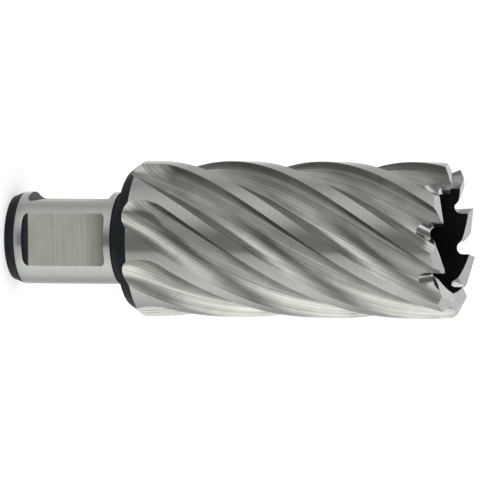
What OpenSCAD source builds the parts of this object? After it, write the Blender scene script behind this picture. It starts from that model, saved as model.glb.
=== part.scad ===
// Annular cutter: a hollow hole cutter in one piece of high-speed steel.
// It stands on the end of its shank, z runs up the axis to the teeth, and every length is in millimetres.
// Angles run anticlockwise seen from the teeth, and the tool cuts in that direction.

/* [Overall] */
// Diameter over the lands, the size of hole it cuts
cutter_d = 32; // [31:0.5:33]
// Height from the shank end to the tooth tips
overall_h = 94.7; // [92:0.1:98]

/* [Shank] */
// Shank diameter
shank_d = 19.05; // [18.8:0.05:19.3]
// Length of the shank up to the neck
shank_l = 22.9; // [22:0.1:24]
// Length of the chamfer at the shank end
end_chamfer_l = 2.3; // [1.5:0.1:3]
// Width of that chamfer across the radius
end_chamfer_w = 0.85; // [0.5:0.05:1.5]
// Diameter of the hole for the pilot pin
pilot_d = 6.4; // [6:0.1:7]
// Chamfer at the mouth of that hole
pilot_chamfer = 0.5; // [0.2:0.1:0.9]

/* [Clamping flats] */
// Depth of each flat below the shank
flat_depth = 1.7; // [1.4:0.05:2]
// Height of the lower end of each flat above the shank end
flat_z = 3.9; // [3.4:0.1:4]
// Length of each flat, ends included
flat_l = 17.6; // [17:0.1:18]
// Radius of the concave ends of each flat
flat_end_r = 1; // [0.7:0.1:1.3]
// Angle between the two flats
flat_angle = 90; // [80:1:100]

/* [Neck and shoulder] */
// Length of the relieved neck
neck_l = 2.7; // [2.2:0.1:3.4]
// Depth of the neck below the shank
neck_depth = 0.3; // [0.1:0.05:0.5]
// Length of the chamfer round the shoulder, along the axis
shoulder_l = 2.65; // [2.2:0.05:3.2]
// Width of that chamfer across the radius
shoulder_w = 1.85; // [1.5:0.05:2.2]

/* [Core] */
// Diameter of the hollow that takes the slug
core_d = 22; // [21:0.1:22.4]
// Steel left between the height of the shoulder's rim and the floor of the hollow
core_web = 5.45; // [4:0.05:9]

/* [Flutes] */
// Teeth, with one flute to each
tooth_n = 8; // [7:1:9]
// Length in which a flute makes one full turn
flute_lead = 154; // [130:1:180]
// Width of a land, in degrees round the axis
land_a = 10; // [8:0.5:13]
// Angle from a tooth tip back to the front edge of its land
land_lag = 6.5; // [5:0.5:9]
// Greatest depth of a flute
flute_depth = 2.85; // [2.4:0.05:3]
// Angle from the front edge of a land to the flute's deepest line
flute_bottom_a = 19.6; // [17:0.2:22]
// Angle that the steep wall below the front edge takes up
wall_a = 2.1; // [1.6:0.1:2.6]
// Depth of that wall
wall_depth = 1.43; // [1.1:0.01:1.7]
// Length over which that wall grows from nothing at the shoulder
wall_l = 13; // [11:0.5:16]
// Depth of a flute where it leaves through the shoulder
runout_depth = 1.46; // [1.3:0.02:1.7]
// Length over which a flute runs out at the shoulder
runout_l = 7.5; // [6:0.5:10]
// Angle by which a land's front edge lies further forward at the shoulder
runout_a = 13.9; // [12:0.1:15]
// Angle by which a flute stops short of the land behind it at the shoulder
runout_rear_a = 1.2; // [0.5:0.1:2]
// Angle from the front edge to the deepest line at the shoulder
runout_bottom_a = 10; // [9:0.1:11]

/* [Teeth] */
// Angle of a tooth tip from the x axis
tip_a = -17.5; // [-22:0.5:-13]
// Radius of the ridge along the top of a tooth
ridge_r = 13.2; // [12.8:0.1:13.6]
// Slope of the outer facet
outer_bevel = 21; // [16:0.5:26]
// Slope of the inner facet
inner_bevel = 17; // [12:0.5:22]
// Slope of a tooth behind its cutting edge
relief = 12.5; // [9:0.5:15]

/* [Gullets] */
// Depth of a gullet below the tooth tip
gullet_depth = 3.35; // [2.9:0.05:3.8]
// Radius at the bottom of a gullet
gullet_r = 1.35; // [1.1:0.05:1.5]
// Slope of a gullet up to the heel of the tooth in front
gullet_ramp = 43; // [38:1:50]
// Depth of the chip channel below the gullet, at the hollow
channel_drop = 0.45; // [0.3:0.05:0.6]
// Distance of the channel's wall ahead of the tooth tip, at the hollow
channel_ahead = 0.6; // [0.4:0.05:0.8]
// Radius at the bottom of the chip channel
channel_r = 1.6; // [1.4:0.05:1.8]
// Slope of the channel's front side
channel_ramp = 48; // [44:1:56]
// Slope of the chip channel down and out through the wall
channel_slope = 44; // [40:1:48]
// Backward lean of the chip channel
channel_lean = 20; // [15:0.5:25]

/* [Hidden] */
cutter_r = cutter_d / 2;
shank_r = shank_d / 2;
pilot_r = pilot_d / 2;
core_r = core_d / 2;
neck_r = shank_r - neck_depth;
neck_z = shank_l + neck_l;
rim_z = neck_z + shoulder_l;
core_z = rim_z + core_web;
core_depth = overall_h - core_z;
pitch_a = 360 / tooth_n;
helix_a = 360 / flute_lead;
// Spare length by which a cutting shape stands proud of what it cuts
over = 2;
// Smallest step that keeps two cuts from ending on one surface
proud = 0.01;
// How far a wall cuts into a round that it would otherwise only touch
touch = 0.03;
// Facets round a full turn
round_n = 180;
// Angle in front of a tip that lies inside its gullet, and the gap left there between two teeth's cuts
gullet_a = 5.5;
gullet_gap_a = 1;
// Height of the shape that cuts a chip channel, enough to leave no roof over it
channel_rise = 5;
// A flute's section by its share of the way between two lands: below the wall, down the floor and up the rise
flute_w = pitch_a - land_a;
wall_s = wall_a / flute_w;
wall_d = wall_depth / flute_depth;
deep_s = flute_bottom_a / flute_w;
bowl_s = runout_bottom_a / (flute_w - runout_a - runout_rear_a);
rise_p = 2.6;
bowl_p = 2.6;
past_s = 1.05;
side_n = 4;
shares = concat(
    [-wall_s],
    [for (j = [0:side_n]) wall_s + (deep_s - wall_s) * j / side_n],
    [for (j = [1:side_n - 1]) deep_s + (1 - deep_s) * j / side_n],
    [past_s]
);
section_n = len(shares) + 1;
// A flute's stations: close together at the shoulder, wider apart along the body
flute_z0 = neck_z + 0.4;
near_n = 9;
near_step = (runout_l + 1) / near_n;
far_n = 19;
far_z0 = rim_z - 1 + near_n * near_step;
far_step = (overall_h + over - far_z0) / far_n;
stations = concat(
    [flute_z0],
    [for (i = [0:near_n - 1]) rim_z - 1 + i * near_step],
    [for (i = [0:far_n]) far_z0 + i * far_step]
);
station_n = len(stations);

// What is left of the run-out at height z: 0 where the flute is full, 1 at the rim and more below it
function fade(z) = max(0, 1 - (z - rim_z) / runout_l);
// How far the steep wall has grown at height z: 0 at the shoulder, 1 where it is full
function grown(z) = min(1, max(0, (z - rim_z) / wall_l));
function eased(z) = grown(z) * grown(z) * (3 - 2 * grown(z));
function between(z, a, b) = a + (b - a) * eased(z);
// Angle of the front edge of a land at height z
function front_a(z) = -land_lag + (z - overall_h) * helix_a + runout_a * pow(fade(z), 2);
// Angle of the rear edge of the next land
function rear_a(z) = -land_lag + (z - overall_h) * helix_a + pitch_a - land_a
    - runout_rear_a * pow(fade(z), 2);
// Depth at height z: the wheel leaves the steel along a curve
function depth_at(z) = flute_depth - (flute_depth - runout_depth) * pow(fade(z), 2);
function polar(r, a, z) = [r * cos(a), r * sin(a), z];
// Depth across the shallow bowl at the shoulder, as a share of the greatest
function bowl(s) = s < bowl_s
    ? 1 - pow(1 - s / bowl_s, bowl_p)
    : 1 - pow((s - bowl_s) / (1 - bowl_s), bowl_p);
// Depth across a full flute: the steep wall, a hollow floor to the deepest line, and the rise to the next land
function full(s) = s < wall_s
    ? s / wall_s * wall_d
    : s < deep_s
        ? 1 - (1 - wall_d) * pow((deep_s - s) / (deep_s - wall_s), 2)
        : 1 - pow((s - deep_s) / (1 - deep_s), rise_p);
function flute_point(z, s) = polar(
    cutter_r - depth_at(z) * between(z, bowl(s), full(s)),
    front_a(z) + (rear_a(z) - front_a(z)) * s,
    z
);
// One section of a flute, closed over the steel that it cuts
function section(z) = concat(
    [for (s = shares) flute_point(z, s)],
    [polar(cutter_r + over, (front_a(z) + rear_a(z)) / 2, z)]
);

module blank() {
    rotate_extrude($fn = round_n)
        polygon([
            [0, 0],
            [shank_r - end_chamfer_w, 0],
            [shank_r, end_chamfer_l],
            [shank_r, shank_l],
            [neck_r, shank_l],
            [neck_r, neck_z],
            [cutter_r - shoulder_w, neck_z],
            [cutter_r, rim_z],
            [cutter_r, overall_h],
            [0, overall_h]
        ]);
}

module bores() {
    translate([0, 0, -over])
        cylinder(r = pilot_r, h = core_z + 2 * over, $fn = round_n);
    translate([0, 0, core_z])
        cylinder(r = core_r, h = core_depth + over, $fn = round_n);
    translate([0, 0, -proud])
        cylinder(r1 = pilot_r + pilot_chamfer + proud, r2 = pilot_r, h = pilot_chamfer + proud, $fn = round_n);
}

// A flat's side view, floor and round ends, carried straight across the shank
module flat() {
    rotate([90, 0, 0])
        linear_extrude(height = shank_d, center = true)
            union() {
                translate([shank_r - flat_depth, flat_z + flat_end_r])
                    square([flat_depth + over, flat_l - 2 * flat_end_r]);
                for (z = [flat_z + flat_end_r, flat_z + flat_l - flat_end_r])
                    translate([shank_r - flat_depth + flat_end_r, z])
                        circle(r = flat_end_r, $fn = round_n);
            }
}

// One flute, a section carried up the helix
module flute() {
    polyhedron(
        points = [for (z = stations) each section(z)],
        faces = concat(
            [[for (j = [section_n - 1:-1:0]) j]],
            [for (i = [0:station_n - 2]) for (j = [0:section_n - 1])
                [i * section_n + j, (i + 1) * section_n + (j + 1) % section_n, (i + 1) * section_n + j]],
            [for (i = [0:station_n - 2]) for (j = [0:section_n - 1])
                [i * section_n + j, i * section_n + (j + 1) % section_n, (i + 1) * section_n + (j + 1) % section_n]],
            [[for (j = [0:section_n - 1]) (station_n - 1) * section_n + j]]
        )
    );
}

// Height of a tooth's two facets, as slopes in and out from the ridge and back from the cutting edge
function roof_z(x, y) = overall_h + y * tan(relief)
    - max(0, x - ridge_r) * tan(outer_bevel) - max(0, ridge_r - x) * tan(inner_bevel);
function roof_point(x, a) = [x, x * tan(a), roof_z(x, x * tan(a))];
function roof_top(x, a) = [x, x * tan(a), overall_h + 2 * over];

// All that stands above the two facets of a tooth, from inside its gullet back to inside the next
module above_tooth() {
    front = gullet_a;
    rear = gullet_a + gullet_gap_a - pitch_a;
    inside = core_r / 2;
    outside = cutter_r + over;
    polyhedron(
        points = concat(
            [for (x = [inside, ridge_r, outside]) roof_point(x, rear)],
            [for (x = [inside, ridge_r, outside]) roof_point(x, front)],
            [for (x = [inside, outside]) roof_top(x, rear)],
            [for (x = [inside, outside]) roof_top(x, front)]
        ),
        faces = [
            [0, 1, 4, 3],
            [1, 2, 5, 4],
            [6, 8, 9, 7],
            [0, 6, 7, 2, 1],
            [3, 4, 5, 9, 8],
            [0, 3, 8, 6],
            [2, 7, 9, 5]
        ]
    );
}

// A notch's side view, upright wall, round bottom and ramp, carried along x: its walls cut a little into its round
module notch(bottom_r, ramp, rise, length) {
    reach = bottom_r - touch;
    rotate([90, 0, 90])
        linear_extrude(height = length)
            translate([reach, bottom_r])
                union() {
                    circle(r = bottom_r, $fn = round_n);
                    polygon([
                        [-reach, 0],
                        [0, 0],
                        [reach * sin(ramp), -reach * cos(ramp)],
                        [reach * sin(ramp) + rise / tan(ramp), rise - reach * cos(ramp)],
                        [-reach, rise - reach * cos(ramp)]
                    ]);
                }
}

// The gullet in front of a tooth, carried straight out through the wall
module gullet() {
    translate([core_r - over, 0, overall_h - gullet_depth])
        notch(gullet_r, gullet_ramp, gullet_depth + over / 2, cutter_r - core_r + 2 * over);
}

// The channel that leads chips from the gullet down and out into the flute
module channel() {
    translate([core_r, channel_ahead, overall_h - gullet_depth - channel_drop])
        rotate([0, 0, -channel_lean])
            rotate([0, channel_slope, 0])
                translate([-over / 2, 0, 0])
                    notch(channel_r, channel_ramp, channel_rise, cutter_r - core_r + 2 * over);
}

// The turned and fluted body before its teeth are cut
module body() {
    difference() {
        blank();
        bores();
        rotate([0, 0, -90])
            flat();
        rotate([0, 0, -90 - flat_angle])
            flat();
        for (i = [0:tooth_n - 1])
            rotate([0, 0, tip_a + i * pitch_a])
                flute();
    }
}

module annular_cutter() {
    color("silver")
        difference() {
            body();
            for (i = [0:tooth_n - 1])
                rotate([0, 0, tip_a + i * pitch_a]) {
                    above_tooth();
                    gullet();
                    channel();
                }
        }
}

annular_cutter();
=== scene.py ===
# %% [markdown]
# # An annular cutter in bright ground steel
#
# This lesson dresses a hollow hole cutter. The real one is a single bar of tool steel that
# is turned, hardened until its skin is black, and then ground: only the wheels' paths are bright.
# So the model is made the same way round. A turned blank comes first, with a black skin, and each
# wheel is a shape of its own that is taken away from it and leaves its bright finish behind.
#
# The CAD model gives the frame: metres, the axis up +Z, the shank's end at the origin.

import bpy
import numpy as np
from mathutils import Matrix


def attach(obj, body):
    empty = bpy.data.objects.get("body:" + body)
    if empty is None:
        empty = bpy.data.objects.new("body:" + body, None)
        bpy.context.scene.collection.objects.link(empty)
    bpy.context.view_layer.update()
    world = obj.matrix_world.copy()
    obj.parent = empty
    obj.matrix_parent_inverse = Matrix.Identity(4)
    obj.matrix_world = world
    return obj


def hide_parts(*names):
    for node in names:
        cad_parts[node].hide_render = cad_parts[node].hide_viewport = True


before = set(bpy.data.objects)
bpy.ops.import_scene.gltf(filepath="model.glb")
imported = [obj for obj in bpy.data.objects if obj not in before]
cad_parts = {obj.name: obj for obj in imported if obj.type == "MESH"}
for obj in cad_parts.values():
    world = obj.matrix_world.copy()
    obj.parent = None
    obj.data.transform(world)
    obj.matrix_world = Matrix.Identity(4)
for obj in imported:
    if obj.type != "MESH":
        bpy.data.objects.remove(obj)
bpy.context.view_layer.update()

# %% [markdown]
# ## The sizes
#
# All sizes are in millimetres and degrees, as on a workshop drawing, and become metres only when
# a mesh is made. They are the CAD model's own values, so the bright surfaces lie where its solid is.
# The sizes that all steps share come first, and each wheel's own sizes stand beside its shape.

# %% Shared sizes in millimetres and degrees
MM = 0.001
CUTTER_R = 16.0
OVERALL_H = 94.7
SHANK_R = 9.525
SHANK_L = 22.9
NECK_L = 2.7
SHOULDER_L = 2.65
NECK_Z = SHANK_L + NECK_L
RIM_Z = NECK_Z + SHOULDER_L
CORE_R = 11.0
TOOTH_N = 8
PITCH_A = 360.0 / TOOTH_N
TIP_A = -17.5
# Degrees that the flutes turn for each mm of height: one full turn in 154 mm.
HELIX_A = 360.0 / 154.0
# How far a cutting shape stands proud of the steel.
PROUD = 2.0
print("Rim of the shoulder at", round(RIM_Z, 2), "mm, teeth every", PITCH_A, "degrees")


def sin(a):
    """Sine of an angle in degrees."""
    return np.sin(np.radians(a))


def cos(a):
    """Cosine of an angle in degrees."""
    return np.cos(np.radians(a))


def tan(a):
    """Tangent of an angle in degrees."""
    return np.tan(np.radians(a))


# %% [markdown]
# ## Surfaces from grids
#
# Every shape here is a grid of points: rows that follow one another along a path, each row a
# ring of points. One function joins the grid into quads with whole arrays. A ring always closes
# on itself; the rows either close too, as on a ring doughnut, or end in two flat caps.

# %% A grid of points becomes a mesh
def solid(name, points, looks, look, rows_close=False):
    """A mesh of closed solids from points[copy, row, column, xyz] in mm: each quad joins a point
    with its neighbours in the next column and the next row, and columns wrap round. look is
    the number of the material on the quads, for all of them or for each row and column."""
    copies, rows, cols = points.shape[:3]
    number = np.arange(copies * rows * cols).reshape(copies, rows, cols)
    here = number if rows_close else number[:, :-1]
    there = np.roll(number, -1, axis=1) if rows_close else number[:, 1:]
    quads = np.stack([here, np.roll(here, -1, axis=2), np.roll(there, -1, axis=2), there], axis=-1)
    ends = number[:, :0] if rows_close else np.stack([number[:, 0, ::-1], number[:, -1]], axis=1)
    corners = np.concatenate([quads.ravel(), ends.ravel()])
    sizes = np.repeat([4, cols], [here.size, ends.size // cols])
    marks = np.zeros(len(sizes), dtype=int)
    marks[: here.size] = np.broadcast_to(look, here.shape).ravel()
    mesh = bpy.data.meshes.new(name)
    mesh.vertices.add(number.size)
    mesh.vertices.foreach_set("co", (points * MM).ravel())
    mesh.loops.add(len(corners))
    mesh.loops.foreach_set("vertex_index", corners)
    mesh.polygons.add(len(sizes))
    mesh.polygons.foreach_set("loop_start", np.cumsum(sizes) - sizes)
    mesh.polygons.foreach_set("material_index", marks)
    mesh.update(calc_edges=True)
    for material in looks:
        mesh.materials.append(material)
    piece = bpy.data.objects.new(name, mesh)
    bpy.context.scene.collection.objects.link(piece)
    print(name, "has", len(sizes), "faces in", copies, "solids")
    return piece


# %% [markdown]
# ## Steel and its finishes
#
# The eye knows ground steel by its lines. A wheel leaves fine scratches along its path, so the
# surface stays sharp along them and smears light across them. The lines run round the shank and
# the lands, along the helix in the flutes, and straight across the flats.
# A pattern could be painted on a UV map, but the Boolean cuts below would tear one apart. Object
# coordinates survive any cut, so each finish stretches a noise in the direction of its own lines.
# Real grinding lines are a few hundredths of a mm wide and would not show in a picture of the
# whole tool, so all of them are drawn coarser, at 0.12 to 0.25 mm.

# %% Helpers for materials
# A Mix node keeps the sockets of its two colours, and of the mixed one, at these places.
COLOUR_A = 6
COLOUR_B = 7
COLOUR_OUT = 2


def paint(code):
    """An sRGB hex colour as linear RGBA: values above 0.04045 follow the sRGB power curve."""
    srgb = np.array([int(code[i : i + 2], 16) for i in (1, 3, 5)]) / 255
    linear = np.where(srgb > 0.04045, ((srgb + 0.055) / 1.055) ** 2.4, srgb / 12.92)
    return (*map(float, linear), 1.0)


def add(tree, kind, settings=None, inputs=None):
    """One node with its settings, and each input either a value or a link from another node."""
    node = tree.nodes.new(kind)
    for key, value in (settings or {}).items():
        setattr(node, key, value)
    for key, value in (inputs or {}).items():
        if isinstance(value, bpy.types.NodeSocket):
            tree.links.new(value, node.inputs[key])
        else:
            node.inputs[key].default_value = value
    return node


def empty_material(name):
    """A new material with only its output node: (material, tree, output)."""
    material = bpy.data.materials.new(name)
    material.use_nodes = True
    material.node_tree.nodes.clear()
    return material, material.node_tree, add(material.node_tree, "ShaderNodeOutputMaterial")


# %% [markdown]
# ### How the lines run
#
# A helix is hard to stretch a noise along, and a straight line is easy. So the flutes' lines are
# turned straight first: every point is turned back by the helix for its height. It is also read
# off at the rim, so that one line keeps its tone from the rim down to the floor of the flute.

# %% Lines along the helix, the axis or round it
def untwisted(tree, place, height, twist):
    """Where a point lies once the helix is straight: x and y are turned back about the axis by
    `twist` degrees for each mm of height and set out to the rim's radius, and z stays."""
    back_turn = float(-np.radians(twist) / MM)
    turn = add(tree, "ShaderNodeMath", {"operation": "MULTIPLY"}, {0: height, 1: back_turn})
    turned = add(
        tree,
        "ShaderNodeVectorRotate",
        {"rotation_type": "Z_AXIS"},
        {"Vector": place, "Angle": turn.outputs["Value"]},
    )
    level = add(
        tree,
        "ShaderNodeVectorMath",
        {"operation": "MULTIPLY"},
        {0: turned.outputs["Vector"], 1: (1.0, 1.0, 0.0)},
    )
    outward = add(tree, "ShaderNodeVectorMath", {"operation": "NORMALIZE"}, {0: level.outputs["Vector"]})
    rim = add(
        tree,
        "ShaderNodeVectorMath",
        {"operation": "SCALE"},
        {0: outward.outputs["Vector"], "Scale": CUTTER_R * MM},
    )
    lifted = add(
        tree,
        "ShaderNodeVectorMath",
        {"operation": "MULTIPLY_ADD"},
        {0: place, 1: (0.0, 0.0, 1.0), 2: rim.outputs["Vector"]},
    )
    return lifted.outputs["Vector"]


def line_noise(tree, place, across, along, lines):
    """A noise whose swells are `across` mm wide and `along` mm long: space is shrunk by these lengths,
    the long one up the axis for 'axis' lines and in the plane across it for 'round' ones."""
    fine = 1 / (across * MM)
    slow = 1 / (along * MM)
    scale = (fine, fine, slow) if lines == "axis" else (slow, slow, fine)
    stretched = add(tree, "ShaderNodeMapping", inputs={"Vector": place, "Scale": scale})
    noise = add(
        tree,
        "ShaderNodeTexNoise",
        inputs={"Vector": stretched.outputs["Vector"], "Scale": 0.5, "Detail": 4.0, "Roughness": 0.65},
    )
    return noise.outputs["Fac"]


def grain(tree, place, twist):
    """Direction in which light stays sharp: round the axis, which is the axis cross the point, plus
    the climb of a helix for each radian of its turn."""
    spin = add(tree, "ShaderNodeVectorMath", {"operation": "CROSS_PRODUCT"}, {0: (0.0, 0.0, 1.0), 1: place})
    climb = float(1 / np.radians(twist) * MM) if twist else 0.0
    slant = add(
        tree,
        "ShaderNodeVectorMath",
        {"operation": "ADD"},
        {0: spin.outputs["Vector"], 1: (0.0, 0.0, climb)},
    )
    unit = add(tree, "ShaderNodeVectorMath", {"operation": "NORMALIZE"}, {0: slant.outputs["Vector"]})
    return unit.outputs["Vector"]


# %% Colour of ground steel
# Width of the soft clouds that make the lines uneven, and their weight beside the lines.
CLOUD_MM = 5.0
CLOUD_SHARE = 0.3


def steel_colour(tree, place, height, lines, dark, light, painted_shade):
    """Colour goes from dark to light with the lines and, less so, with soft clouds. The last argument, if
    given, holds two heights in mm and a darker colour: between those heights the colour turns to it, as a
    painted shade."""
    clouds = add(
        tree, "ShaderNodeTexNoise", inputs={"Vector": place, "Scale": 1 / (CLOUD_MM * MM), "Detail": 2.0}
    )
    mixed = add(
        tree,
        "ShaderNodeMath",
        {"operation": "MULTIPLY_ADD"},
        {0: clouds.outputs["Fac"], 1: CLOUD_SHARE, 2: lines},
    )
    share = add(
        tree, "ShaderNodeMapRange", inputs={"Value": mixed.outputs["Value"], "From Min": 0.4, "From Max": 0.9}
    )
    colour = add(
        tree,
        "ShaderNodeMix",
        {"data_type": "RGBA"},
        {"Factor": share.outputs["Result"], COLOUR_A: paint(dark), COLOUR_B: paint(light)},
    ).outputs[COLOUR_OUT]
    if not painted_shade:
        return colour
    # Painted shade: between the two heights the colour turns to the darker one.
    start, stop, shade_colour = painted_shade
    shade_share = add(
        tree, "ShaderNodeMapRange", inputs={"Value": height, "From Min": start * MM, "From Max": stop * MM}
    )
    return add(
        tree,
        "ShaderNodeMix",
        {"data_type": "RGBA"},
        {"Factor": shade_share.outputs["Result"], COLOUR_A: colour, COLOUR_B: paint(shade_colour)},
    ).outputs[COLOUR_OUT]


# %% Ground steel in any direction
SCRATCH_MM = 0.03
# A quarter turn of the smear puts it across the lines.
SMEAR_TURN = 0.25


def ground_steel(
    name, dark, light, rough, across, along, lines, twist=0.0, aniso=0.5, bump=0.25, painted_shade=None
):
    """Steel with grinding lines. The noise of the lines gives the colour, swings the roughness by a fifth
    about `rough`, and is the height of the bump. Lines follow a helix of `twist` degrees for each mm."""
    material, tree, out = empty_material(name)
    place = add(tree, "ShaderNodeTexCoord").outputs["Object"]
    height = add(tree, "ShaderNodeSeparateXYZ", inputs={"Vector": place}).outputs["Z"]
    straight = untwisted(tree, place, height, twist) if twist else place
    noise = line_noise(tree, straight, across, along, lines)
    roughness = add(
        tree,
        "ShaderNodeMapRange",
        inputs={
            "Value": noise,
            "From Min": 0.25,
            "From Max": 0.75,
            "To Min": rough * 1.2,
            "To Max": rough * 0.8,
        },
    )
    relief = add(
        tree, "ShaderNodeBump", inputs={"Strength": bump, "Distance": SCRATCH_MM * MM, "Height": noise}
    )
    shader = add(
        tree,
        "ShaderNodeBsdfPrincipled",
        inputs={
            "Base Color": steel_colour(tree, place, height, noise, dark, light, painted_shade),
            "Metallic": 1.0,
            "Roughness": roughness.outputs["Result"],
            "Anisotropic": aniso,
            "Anisotropic Rotation": SMEAR_TURN,
            "Tangent": grain(tree, place, twist),
            "Normal": relief.outputs["Normal"],
        },
    )
    tree.links.new(shader.outputs["BSDF"], out.inputs["Surface"])
    return material


# %% The black skin
SKIN_CLOUD_MM = 2.5
SKIN_RELIEF_MM = 0.02


def black_skin(name, dark, light):
    """Steel as it leaves hardening: a thin blue-black oxide, matt, with paler clouds a few mm wide."""
    material, tree, out = empty_material(name)
    place = add(tree, "ShaderNodeTexCoord").outputs["Object"]
    clouds = add(
        tree,
        "ShaderNodeTexNoise",
        inputs={"Vector": place, "Scale": 1 / (SKIN_CLOUD_MM * MM), "Detail": 5.0, "Roughness": 0.6},
    ).outputs["Fac"]
    colour = add(
        tree,
        "ShaderNodeMix",
        {"data_type": "RGBA"},
        {"Factor": clouds, COLOUR_A: paint(dark), COLOUR_B: paint(light)},
    ).outputs[COLOUR_OUT]
    relief = add(
        tree, "ShaderNodeBump", inputs={"Strength": 0.2, "Distance": SKIN_RELIEF_MM * MM, "Height": clouds}
    ).outputs["Normal"]
    shader = add(
        tree,
        "ShaderNodeBsdfPrincipled",
        inputs={"Base Color": colour, "Metallic": 0.35, "Roughness": 0.45, "Normal": relief},
    )
    tree.links.new(shader.outputs["BSDF"], out.inputs["Surface"])
    return material


# %% [markdown]
# ### The eight finishes
#
# All of them are the same tool steel. What differs is the wheel: how fine it was, which way it ran
# and how far it smears the light. The order of the list gives each finish its number on the mesh.

# %% All finishes
SKIN, SHANK, LAND, FLUTE, FLAT, TOOTH, GULLET, BORE = range(8)
looks = [
    # Oxide left by hardening: a near-black with a blue cast that frames the bright surfaces.
    black_skin("black_hardened_steel", "#0b1217", "#27343b"),
    # Cylinder-ground to fit its holder: even, with fine lines round it and one soft long highlight.
    ground_steel(
        "ground_shank_steel",
        "#d3d7d1",
        "#e0e4dd",
        rough=0.22,
        across=0.12,
        along=14,
        lines="round",
        aniso=0.7,
        bump=0.12,
    ),
    # Ground round the outside as the shank is, and a little warmer: plain bands between the flutes.
    ground_steel(
        "satin_ground_land_steel",
        "#c9cac4",
        "#d8d9d3",
        rough=0.22,
        across=0.12,
        along=14,
        lines="round",
        aniso=0.7,
        bump=0.12,
    ),
    # Ground by a coarser wheel along the helix: long streaks, light and dark side by side.
    ground_steel(
        "helix_ground_flute_steel",
        "#85857f",
        "#dcdcd5",
        rough=0.16,
        across=0.17,
        along=22,
        lines="axis",
        twist=HELIX_A,
        aniso=0.7,
        bump=0.4,
    ),
    # Ground straight across: a soft, warm sheen, with a painted shade that darkens it toward the neck.
    ground_steel(
        "cross_ground_flat_steel",
        "#d9d9cd",
        "#f3f3e7",
        rough=0.64,
        across=0.15,
        along=8,
        lines="round",
        # Painted shade: the flat's colour darkens between 17 and 21.5 mm, toward the neck.
        painted_shade=(17.0, 21.5, "#b6b5a8"),
    ),
    # Facets from a fine wheel: small, clean and bright.
    ground_steel(
        "ground_tooth_steel", "#b3b5b2", "#c6c8c5", rough=0.24, across=0.25, along=4, lines="axis", aniso=0.3
    ),
    # The same wheel, dressed round: a little darker, with soft shading in its curves.
    ground_steel(
        "ground_gullet_steel", "#a6a8a5", "#cbcdca", rough=0.22, across=0.25, along=5, lines="axis", aniso=0.3
    ),
    # Oxide in the hollow, where no wheel reaches, drawn darker than the skin outside: the black oxide is
    # real, and the extra darkness is a painted shade for the depth.
    black_skin("oxide_and_shade_bore_steel", "#030405", "#0d1012"),
]
print("Finishes:", [look.name for look in looks])

# %% [markdown]
# ## The turned blank
#
# A lathe turns the outside and bores the hollow and the pilot hole, so the blank is one outline
# carried round the axis. The outline runs out along the shank's end, up the outside and
# down the inside, and closes on itself: the mesh is a ring doughnut with no pole to pinch.
# Each stretch of it names its finish. The lands are one smooth cylinder until the flutes are cut.

# %% Outline of the blank
END_CHAMFER_L = 2.3
END_CHAMFER_W = 0.85
PILOT_R = 3.2
PILOT_CHAMFER = 0.5
NECK_R = SHANK_R - 0.3
SHOULDER_R = CUTTER_R - 1.85
FOOT_BEVEL = 0.15
CORE_Z = OVERALL_H - 61.0
# The blank stands a little above the tips, and the teeth are ground down out of it.
BLANK_H = OVERALL_H + 0.2
outline = [
    # radius, height, rows to the next point, finish of those rows
    (PILOT_R + PILOT_CHAMFER, 0.0, 2, SKIN),
    (SHANK_R - END_CHAMFER_W, 0.0, 2, SKIN),
    (SHANK_R, END_CHAMFER_L, 8, SHANK),
    (SHANK_R, SHANK_L, 1, SKIN),
    (NECK_R, SHANK_L, 1, SKIN),
    (NECK_R, NECK_Z, 4, SKIN),
    (SHOULDER_R - FOOT_BEVEL, NECK_Z, 1, SKIN),
    (SHOULDER_R, NECK_Z + FOOT_BEVEL, 6, SKIN),
    (CUTTER_R, RIM_Z, 24, LAND),
    (CUTTER_R, BLANK_H, 1, TOOTH),
    (CORE_R, BLANK_H, 16, BORE),
    (CORE_R, CORE_Z, 4, BORE),
    (PILOT_R, CORE_Z, 8, BORE),
    (PILOT_R, PILOT_CHAMFER, 1, SKIN),
]
print("The outline has", len(outline), "corners and", sum(corner[2] for corner in outline), "rows")

# %% Carry the outline round the axis
BLANK_COLUMNS = 720


def revolved(corners, columns):
    """Points of a closed outline carried round the axis: each leg from a corner to the next is
    split evenly, then x = r cos a and y = r sin a for angles a all the way round."""
    ends = corners[1:] + corners[:1]
    legs = [np.linspace(c[:2], e[:2], c[2], endpoint=False) for c, e in zip(corners, ends, strict=True)]
    r, z = np.concatenate(legs).T
    a = np.arange(columns) * 360 / columns
    level = np.repeat(z[:, None], columns, axis=1)
    points = np.stack([r[:, None] * cos(a), r[:, None] * sin(a), level], axis=-1)
    return points, np.repeat([c[3] for c in corners], [c[2] for c in corners])


points, finish = revolved(outline, BLANK_COLUMNS)
body = solid("annular_cutter_steel", points[None], looks, finish[:, None], rows_close=True)

# %% [markdown]
# ## Shapes to cut away
#
# Every grinding wheel leaves a hollow, and each hollow is made as a solid of its own to be taken
# away from the blank. Most come eight times, once for each tooth, so one function copies a
# shape round the axis. Its rows and rings run so that all faces point outward: a Boolean
# takes an inside-out solid for the whole world except that solid.

# %% Copies round the axis
def round_axis(points, angles):
    """Copies of points[row, column, xyz], turned about the axis by each of the angles: x and y
    turn as a pair, z stays."""
    a = np.asarray(angles, dtype=float)[:, None, None]
    x, y, z = points[None, ..., 0], points[None, ..., 1], points[None, ..., 2]
    return np.stack([x * cos(a) - y * sin(a), x * sin(a) + y * cos(a), z + 0 * a], axis=-1)


def carried(section, path):
    """A flat section carried along a straight path: every row is the section moved on by one step."""
    return section[None] + path[:, None]


TIPS = TIP_A + np.arange(TOOTH_N) * PITCH_A
print("Tooth tips at", TIPS, "degrees")

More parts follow.
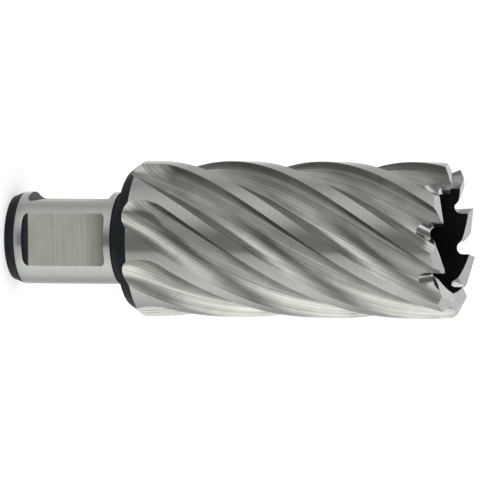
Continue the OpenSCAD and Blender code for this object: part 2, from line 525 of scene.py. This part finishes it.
# %% [markdown]
# ## The clamping flats
#
# A milling cutter crosses the shank and leaves a flat floor with a round end where it went in
# and came out. A bent plane would do for the floor alone, but the ends are what the light
# catches, so the whole side view of the milled hollow is drawn and carried across the shank.
# The lower round end keeps its black skin; the rest was ground after hardening.

# %% Side view of a flat, carried across the shank
FLAT_DEPTH = 1.7
FLAT_Z = 3.9
FLAT_L = 17.6
FLAT_END_R = 1.0
# Half the way across the shank, enough to leave it on both sides.
FLAT_REACH = 6.5
FLAT_ANGLES = [-90, 180]


def flat_hollow():
    """Side view as (distance from axis, height): a quarter round down to the floor, the floor, a
    quarter round up, and out past the shank. The path runs across the shank, along y."""
    q = np.linspace(0, 90, 13)
    floor = SHANK_R - FLAT_DEPTH
    low = FLAT_Z + FLAT_END_R
    high = FLAT_Z + FLAT_L - FLAT_END_R
    outside = [SHANK_R + PROUD]
    down_x = floor + FLAT_END_R * (1 - sin(q))
    up_x = floor + FLAT_END_R * (1 - cos(q))
    x = np.concatenate([outside, down_x, up_x, outside])
    down_z = low - FLAT_END_R * cos(q)
    up_z = high + FLAT_END_R * sin(q)
    z = np.concatenate([[FLAT_Z], down_z, up_z, [FLAT_Z + FLAT_L]])
    section = np.stack([x, 0 * x, z], axis=-1)
    finish = np.where(np.arange(len(x)) < len(q), SKIN, FLAT)
    return carried(section, np.outer([-1, 1], [0, FLAT_REACH, 0])), finish


hollow, finish = flat_hollow()
flats = solid("flat_hollows", round_axis(hollow, FLAT_ANGLES), looks, finish)

# %% [markdown]
# ## The flutes
#
# A flute is a groove along a right-hand helix. Seen from the teeth its section has a steep wall behind
# each land's front edge, a hollow floor that is deepest a little past the middle, and a curved rise to
# the next land. Near the shoulder the wheel comes out of the steel, and the section fades to a bowl.
# A screw modifier can't fade a section, so the section is a function of the height: its
# points are worked out for every height at once, and each ring is turned on along the helix.

# %% Depth across a flute
# Foot of the wall, deepest line, and deepest line of the bowl, as shares of the way between two lands.
WALL_S = 0.06
DEEP_S = 0.56
BOWL_S = 0.5025
# Depth at the foot of the wall, as a share of the greatest.
WALL_D = 0.5
# Powers of the curves: the higher, the flatter the bottom and the steeper the sides.
BOWL_P = 2.6
RISE_P = 2.6
# Reach of the sliding mean that rounds the corners, and the samples for each whole flute that it runs over.
ROUND_S = 0.05
SAMPLE_N = 1000


def bowl_section(share):
    """Depth, as a share of the greatest, across the bowl at the shoulder: 1 less the distance from the
    deepest line, as a share of that side's width, to the power BOWL_P."""
    left = 1 - share / BOWL_S
    right = (share - BOWL_S) / (1 - BOWL_S)
    return 1 - np.where(share < BOWL_S, left, right) ** BOWL_P


def full_section(share):
    """Depth, as a share of the greatest, across a full flute: a steep wall, an even floor down to the
    deepest line, and a curve up to the next land. A sliding mean rounds the corners as the wheel does."""
    fine = np.linspace(-0.2, 1.3, 3 * SAMPLE_N // 2 + 1)
    wall = fine / WALL_S * WALL_D
    floor = 1 - (1 - WALL_D) * ((DEEP_S - fine) / (DEEP_S - WALL_S)) ** 2
    rise = 1 - (np.maximum(fine - DEEP_S, 0) / (1 - DEEP_S)) ** RISE_P
    sharp = np.where(fine < WALL_S, wall, np.where(fine < DEEP_S, floor, rise))
    width = int(ROUND_S * SAMPLE_N)
    bell = np.hanning(2 * width + 3)[1:-1]
    smooth = np.convolve(np.pad(sharp, width, mode="edge"), bell / bell.sum(), mode="valid")
    return np.interp(share, fine, smooth)


# %% Section of a flute at every height
# Width of a land, and the angle from a tooth's tip back to its land's front edge.
LAND_A = 10.0
LAND_LAG = 6.5
FLUTE_DEPTH = 2.85
# Heights above the rim over which the wall grows and the flute runs out, and the depth left at the rim.
WALL_L = 13.0
RUNOUT_L = 7.5
RUNOUT_DEPTH = 1.46
# Angles by which a flute is narrower at the shoulder, behind the front edge and before the next land.
RUNOUT_A = 13.9
RUNOUT_REAR_A = 1.2
# Width of the broken edge along a land's front, and how far the shape that breaks it reaches out.
EDGE_W = 0.05
LIP = 1.0
# Points lie close together in the corner at the wall and further apart across the floor.
CORNER_S = 0.14
MIDDLE_S = 0.5
PAST_S = 1.06


def between(z, shoulder, full):
    """A value that eases from `shoulder` at the rim to `full` where the wall is full: 3g^2 - 2g^3 of
    the share g of that height."""
    g = np.clip((z - RIM_Z) / WALL_L, 0, 1)
    return shoulder + (full - shoulder) * g * g * (3 - 2 * g)


def flute_hollow(z):
    """Rings at heights z. The section runs from the front edge of one land to the rear edge of the next:
    the angle goes evenly between them, and the depth is a bowl that eases into the full section."""
    z = z[:, None]
    fade = np.maximum(0, 1 - (z - RIM_Z) / RUNOUT_L) ** 2
    helix = -LAND_LAG + (z - OVERALL_H) * HELIX_A
    front = helix + RUNOUT_A * fade
    rear = helix + PITCH_A - LAND_A - RUNOUT_REAR_A * fade
    depth = FLUTE_DEPTH - (FLUTE_DEPTH - RUNOUT_DEPTH) * fade
    corner = np.linspace(0, CORNER_S, 15)[1:]
    middle = np.linspace(CORNER_S, MIDDLE_S, 8)[1:]
    rise = np.linspace(MIDDLE_S, 1, 20)[1:]
    share = np.concatenate([corner, middle, rise, [PAST_S]])
    r = CUTTER_R - depth * between(z, bowl_section(share), full_section(share))
    a = front + (rear - front) * share
    wide = np.degrees(EDGE_W / CUTTER_R)
    lip = np.degrees((LIP + EDGE_W) / CUTTER_R)
    ones = np.ones_like(z)
    lip_r = (CUTTER_R + LIP) * ones
    edge_r = (CUTTER_R - EDGE_W) * ones
    r = np.concatenate([lip_r, edge_r, r, (CUTTER_R + PROUD) * ones], axis=1)
    a = np.concatenate([front + wide / 2 - lip, front + wide / 2, a, (front + rear) / 2], axis=1)
    points = np.stack([r * cos(a), r * sin(a), z + 0 * a], axis=-1)
    finish = np.full(r.shape[1], FLUTE)
    finish[0] = LAND
    return points[:, ::-1], np.roll(finish[::-1], -1)


# %% Flutes from below the rim to above the tips
# Rings lie close together where a flute runs out and further apart along the body.
RUNOUT_RINGS = 28
BODY_RINGS = 56
# The lowest ring lies beside the shoulder, where the hollow is already clear of the steel.
FLUTE_FOOT_Z = NECK_Z + 0.4
near = np.linspace(RIM_Z - 1.2, RIM_Z + 9, RUNOUT_RINGS)
far = np.linspace(RIM_Z + 10, OVERALL_H + 1, BODY_RINGS)
heights = np.concatenate([[FLUTE_FOOT_Z], near, far])
rings, finish = flute_hollow(heights)
flutes = solid("flute_hollows", round_axis(rings, TIPS), looks, finish)

# %% [markdown]
# ## The teeth
#
# Each tooth end is ground as two facets that meet in a ridge, one falling outward and one inward,
# and both fall away behind the cutting edge so that only the edge touches the work.
# The facets are planes, so what stands above them is a solid with a peaked underside.

# %% What stands above the two facets of each tooth
RIDGE_R = 13.2
OUTER_BEVEL = 21
INNER_BEVEL = 17
RELIEF = 12.5
# The shape starts inside the tooth's own gullet and stops just short of the next one's.
ROOF_FRONT_A = 5.5
ROOF_GAP_A = 1.0
ROOF_H = 4


def above_tooth():
    """Section across a tooth as (x, z): two slopes that meet at the ridge and a lid. At angle a, y is
    x tan a, and the slopes drop by y times the tangent of the relief angle behind the edge."""
    inside = CORE_R / 2
    outside = CUTTER_R + PROUD
    x = np.array([inside, RIDGE_R, outside, outside, inside])
    lid = np.array([0, 0, 0, 1, 1])
    y = x * tan(np.array([[ROOF_FRONT_A + ROOF_GAP_A - PITCH_A], [ROOF_FRONT_A]]))
    outward = np.maximum(0, x - RIDGE_R) * tan(OUTER_BEVEL)
    inward = np.maximum(0, RIDGE_R - x) * tan(INNER_BEVEL)
    z = np.where(lid, OVERALL_H + ROOF_H, OVERALL_H + y * tan(RELIEF) - (outward + inward))
    return np.stack([x + 0 * y, y, z], axis=-1)[:, ::-1]


roofs = solid("above_teeth", round_axis(above_tooth(), TIPS), looks, TOOTH)

# %% [markdown]
# ## Gullets and chip channels
#
# In front of every tooth a small wheel crosses the wall and leaves a gullet: an upright rake face, a
# round bottom, and a ramp up to the heel of the tooth ahead. A second cut of the same kind, tipped
# over, slopes down and out from it into the flute, so that chips leave on the outside.
# Both have one side view, so one function draws it and carries it along a level or a sloping path.

# %% Side view of a notch, carried along a leaning path
# The path starts inside the hollow and ends outside the lands.
NOTCH_START = -1
NOTCH_STOP = 8
NOTCH_ROWS = 6
ROUND_POINTS = 24


def notch(bottom_r, ramp, height, floor, lean=0, slope=0, ahead=0):
    """Side view: down the rake face, round the bottom, up the ramp and closed above. It is carried
    outward along a path that leans back and slopes down from the hollow's wall, `floor` below the tips."""
    w = np.linspace(180, 270 + ramp, ROUND_POINTS)
    y = bottom_r + bottom_r * cos(w)
    z = bottom_r + bottom_r * sin(w)
    y = np.concatenate([[0], y, [y[-1] + (height - z[-1]) / tan(ramp)]])[:, None]
    z = np.concatenate([[height], z, [height]])[:, None]
    away = np.array([cos(slope) * cos(lean), -cos(slope) * sin(lean), -sin(slope)])
    side = np.array([sin(lean), cos(lean), 0])
    foot = np.array([CORE_R, ahead, OVERALL_H - floor])
    path = np.outer(np.linspace(NOTCH_START, NOTCH_STOP, NOTCH_ROWS), away)
    return carried(foot + y * side + z * np.cross(away, side), path)


# %% Gullets
GULLET_R = 1.35
GULLET_DEPTH = 3.35
GULLET_RAMP = 43.0
# The shape that cuts a gullet ends a little above the tips.
GULLET_H = GULLET_DEPTH + 0.6
straight = notch(GULLET_R, GULLET_RAMP, GULLET_H, GULLET_DEPTH)
gullets = solid("gullet_hollows", round_axis(straight, TIPS), looks, GULLET)

# %% Chip channels
CHANNEL_R = 1.6
CHANNEL_RAMP = 48.0
# High enough to leave no roof over the channel.
CHANNEL_H = 5
# At the hollow's wall a channel lies this far below its gullet and ahead of the tooth's tip.
CHANNEL_DROP = 0.45
CHANNEL_AHEAD = 0.6
CHANNEL_LEAN = 20.0
CHANNEL_SLOPE = 44.0
sloping = notch(
    CHANNEL_R,
    CHANNEL_RAMP,
    CHANNEL_H,
    GULLET_DEPTH + CHANNEL_DROP,
    lean=CHANNEL_LEAN,
    slope=CHANNEL_SLOPE,
    ahead=CHANNEL_AHEAD,
)
channels = solid("channel_hollows", round_axis(sloping, TIPS), looks, GULLET)

# %% [markdown]
# ## Cut the blank
#
# The hollows are taken away one kind after the other, as on the machine. All solids hold the same
# list of finishes in the same order, so a cut face keeps the number, and the finish, of the wheel that
# made it. The result is stored as the piece's own mesh and the hollows go.
# Edges sharper than the limit below stay crisp, and the rest is shaded smooth.

# %% Take the hollows away
CRISP_A = 24
hollows = (flats, flutes, roofs, gullets, channels)
for hollow in hollows:
    cut = body.modifiers.new(hollow.name, "BOOLEAN")
    cut.operation = "DIFFERENCE"
    cut.solver = "MANIFOLD"
    cut.material_mode = "INDEX"
    cut.object = hollow
ready = body.evaluated_get(bpy.context.evaluated_depsgraph_get())
cut_mesh = bpy.data.meshes.new_from_object(ready)
body.modifiers.clear()
body.data = cut_mesh
for hollow in hollows:
    bpy.data.meshes.remove(hollow.data)
cut_mesh.shade_smooth()
cut_mesh.set_sharp_from_angle(angle=float(np.radians(CRISP_A)))
triangles = sum(len(face.vertices) - 2 for face in cut_mesh.polygons)
print("Cut:", len(cut_mesh.polygons), "faces,", triangles, "triangles")

# %% Tie the piece to the CAD model
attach(body, "root")
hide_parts("annular_cutter")
print(body.name, "replaces the CAD node")

# %% [markdown]
# ## Camera
#
# The cutter lies across the picture, so the camera is turned on its side: the axis
# runs to the right and a little toward the viewer. A long lens from far away keeps both ends the
# same size. The angles and the place were fitted to the outline of the object.

# %% Camera
TILT_A = 16.135
ROLL_A = 0.444
FACING_A = -93.0
# Aim, its shift to the right and down in the picture, and the distance, all in metres.
AIM = np.array([0, 0, 0.047])
AIM_RIGHT = 0.0010758
AIM_DOWN = 0.0002097
DISTANCE = 1.6544
axis = np.array([0.0, 0.0, 1.0])
toward = np.array([cos(FACING_A), sin(FACING_A), 0.0])
back = sin(TILT_A) * axis + cos(TILT_A) * toward
even_right = cos(TILT_A) * axis - sin(TILT_A) * toward
even_down = np.array([-sin(FACING_A), cos(FACING_A), 0.0])
right = cos(ROLL_A) * even_right - sin(ROLL_A) * even_down
down = sin(ROLL_A) * even_right + cos(ROLL_A) * even_down
spot = AIM + AIM_RIGHT * right + AIM_DOWN * down + DISTANCE * back
lens = bpy.data.cameras.new("camera")
lens.sensor_width = 36.0
lens.lens = 603.65
lens.clip_end = 20.0
camera = bpy.data.objects.new("camera", lens)
bpy.context.scene.collection.objects.link(camera)
pose = np.block([[np.stack([right, -down, back, spot], axis=1)], [0, 0, 0, 1]])
camera.matrix_world = pose.T.tolist()
bpy.context.scene.camera = camera
print("Camera at", np.round(spot, 3))

# %% [markdown]
# ## Floor and light
#
# Ground metal shows its surroundings more than itself, so the studio is planned by what the steel
# sees. It stands in a pale tent: bright on the right, dimmer on the left, with a dark gap where
# the camera looks in and another at a seam behind. Lamps and cards could give the same, but here the
# tent is drawn as rings, one above the other: table, foot, walls, upper walls and top. Each ring is
# a ramp of brightness round the compass, so any direction can be set by itself.
# The floor and the air are white to the camera alone, and the floor keeps a soft shadow. The steel
# sees the tent in their place: shown plain white all round, it turns pale and loses its form.

# %% Rings of the tent
# Each stop is (angle, brightness): 0 is toward the viewer, and positive angles are to the right.
# The stops were set in rounds, until the bands on the steel fell where they should.
TABLE = [
    (-180, 0.16), (-110, 0.17), (-50, 0.25), (-10, 0.34), (10, 0.33), (50, 0.28), (90, 0.34),
    (110, 0.44), (130, 0.2),
]
FOOT = [
    (-180, 0.56), (-165, 0.54), (-150, 0.42), (-130, 0.33), (-110, 0.34), (-90, 0.25), (-70, 0.36),
    (-50, 0.43), (-30, 0.35), (-14, 0.18), (-6, 0.12), (17, 0.12), (19, 0.31), (30, 0.36),
    (50, 0.43), (70, 0.53), (90, 0.48), (110, 0.39), (130, 0.28), (150, 0.33), (165, 0.5), (180, 0.56),
]
WALLS = [
    (-180, 0.75), (-165, 0.45), (-150, 0.03), (-128, 0.03), (-110, 0.28), (-90, 0.7), (-70, 0.77),
    (-50, 0.61), (-30, 0.34), (-12, 0.21), (2, 0.31), (12, 0.48), (30, 0.8), (50, 0.97), (75, 1.0),
    (95, 0.9), (115, 0.7), (140, 0.45), (165, 0.6), (180, 0.75),
]
UPPER = [
    (-180, 0.68), (-150, 0.66), (-128, 0.5), (-110, 0.55), (-90, 0.95), (-70, 0.85), (-50, 0.62),
    (-30, 0.34), (-12, 0.21), (2, 0.4), (12, 0.62), (30, 0.85), (50, 0.97), (75, 1.0), (95, 0.9),
    (115, 0.7), (140, 0.6), (165, 0.6), (180, 0.68),
]
TOP = [(-180, 0.6), (-150, 0.55), (-120, 0.14), (90, 0.1), (120, 0.25), (150, 0.45), (180, 0.6)]
print("Stops of the rings:", [len(ring) for ring in (TABLE, FOOT, WALLS, UPPER, TOP)])


# %% Brightness by direction
def tent_ring(tree, direction, stops):
    """Brightness by compass direction: the angle of x and -y round the axis, 0 toward the viewer and
    positive to the right, is looked up on a ramp of (angle, brightness) stops."""
    parts = add(tree, "ShaderNodeSeparateXYZ", inputs={"Vector": direction}).outputs
    flipped = add(tree, "ShaderNodeMath", {"operation": "MULTIPLY"}, {0: parts["Y"], 1: -1.0})
    angle = add(
        tree, "ShaderNodeMath", {"operation": "ARCTAN2"}, {0: parts["X"], 1: flipped.outputs["Value"]}
    )
    share = add(
        tree,
        "ShaderNodeMapRange",
        inputs={"Value": angle.outputs["Value"], "From Min": float(-np.pi), "From Max": float(np.pi)},
    )
    ramp = add(tree, "ShaderNodeValToRGB", inputs={"Fac": share.outputs["Result"]})
    elements = ramp.color_ramp.elements
    elements.remove(elements[1])
    for number, (degrees, value) in enumerate(stops):
        position = (degrees + 180) / 360
        stop = elements[0] if number == 0 else elements.new(position)
        stop.position = position
        stop.color = (value, value, value, 1.0)
    return ramp.outputs["Color"]


def blend(tree, height, low, high, start, stop):
    """Two brightnesses that pass into each other, along an S curve, as the direction's height goes from
    start to stop: -1 is straight down, 0 level and 1 straight up."""
    share = add(
        tree,
        "ShaderNodeMapRange",
        {"interpolation_type": "SMOOTHSTEP"},
        {"Value": height, "From Min": start, "From Max": stop},
    )
    mixed = add(
        tree,
        "ShaderNodeMix",
        {"data_type": "RGBA"},
        {"Factor": share.outputs["Result"], COLOUR_A: low, COLOUR_B: high},
    )
    return mixed.outputs[COLOUR_OUT]


# %% Floor
FLOOR_HALF = 4.0
# Just under the shank's end, so that the two surfaces don't meet.
FLOOR_Z = -0.0001
FLOOR_LIFT = 0.45


def white_floor():
    """Matt white card. The eye sees it lifted to white by a glow, with the object's shadow left in."""
    material, tree, out = empty_material("white_card")
    path = add(tree, "ShaderNodeLightPath").outputs
    matt = add(tree, "ShaderNodeBsdfDiffuse", inputs={"Color": paint("#f4f4f3")}).outputs["BSDF"]
    lift = add(tree, "ShaderNodeEmission", inputs={"Color": (1, 1, 1, 1), "Strength": FLOOR_LIFT})
    lifted = add(tree, "ShaderNodeAddShader", inputs={0: matt, 1: lift.outputs["Emission"]})
    both = add(
        tree,
        "ShaderNodeMixShader",
        inputs={"Fac": path["Is Camera Ray"], 1: matt, 2: lifted.outputs["Shader"]},
    )
    tree.links.new(both.outputs["Shader"], out.inputs["Surface"])
    return material


def sheet(name, half, z, material):
    """A flat square card about the axis: its corners are at plus and minus `half` metres, at height z."""
    mesh = bpy.data.meshes.new(name)
    corners = [(-half, -half, z), (half, -half, z), (half, half, z), (-half, half, z)]
    mesh.from_pydata(corners, [], [(0, 1, 2, 3)])
    mesh.materials.append(material)
    card = bpy.data.objects.new(name, mesh)
    bpy.context.scene.collection.objects.link(card)
    return card


floor = sheet("floor", FLOOR_HALF, FLOOR_Z, white_floor())
floor.visible_glossy = False
print("Floor is", 2 * FLOOR_HALF, "m wide")

# %% World
TENT_STRENGTH = 1.49
UNDER_TABLE = (0.085, 0.083, 0.08, 1.0)
scene = bpy.context.scene
world = bpy.data.worlds.new("studio_tent")
scene.world = world
world.use_nodes = True
tree = world.node_tree
tree.nodes.clear()
direction = add(tree, "ShaderNodeTexCoord").outputs["Generated"]
height = add(tree, "ShaderNodeSeparateXYZ", inputs={"Vector": direction}).outputs["Z"]
# Each ring with the heights between which the one below passes into it.
rings = [(TABLE, -1.0, -0.7), (FOOT, -0.62, -0.42), (WALLS, -0.1, 0.35), (UPPER, 0.1, 0.4), (TOP, 0.7, 0.9)]
tone = UNDER_TABLE
for stops, start, stop in rings:
    tone = blend(tree, height, tone, tent_ring(tree, direction, stops), start, stop)
tent = add(tree, "ShaderNodeBackground", inputs={"Color": tone, "Strength": TENT_STRENGTH})
white = add(tree, "ShaderNodeBackground", inputs={"Color": (1, 1, 1, 1), "Strength": 1.0})
path = add(tree, "ShaderNodeLightPath").outputs
both = add(
    tree,
    "ShaderNodeMixShader",
    inputs={"Fac": path["Is Camera Ray"], 1: tent.outputs["Background"], 2: white.outputs["Background"]},
)
add(tree, "ShaderNodeOutputWorld", inputs={"Surface": both.outputs["Shader"]})
scene.view_settings.view_transform = "Standard"
print("The tent has", len(rings), "rings")
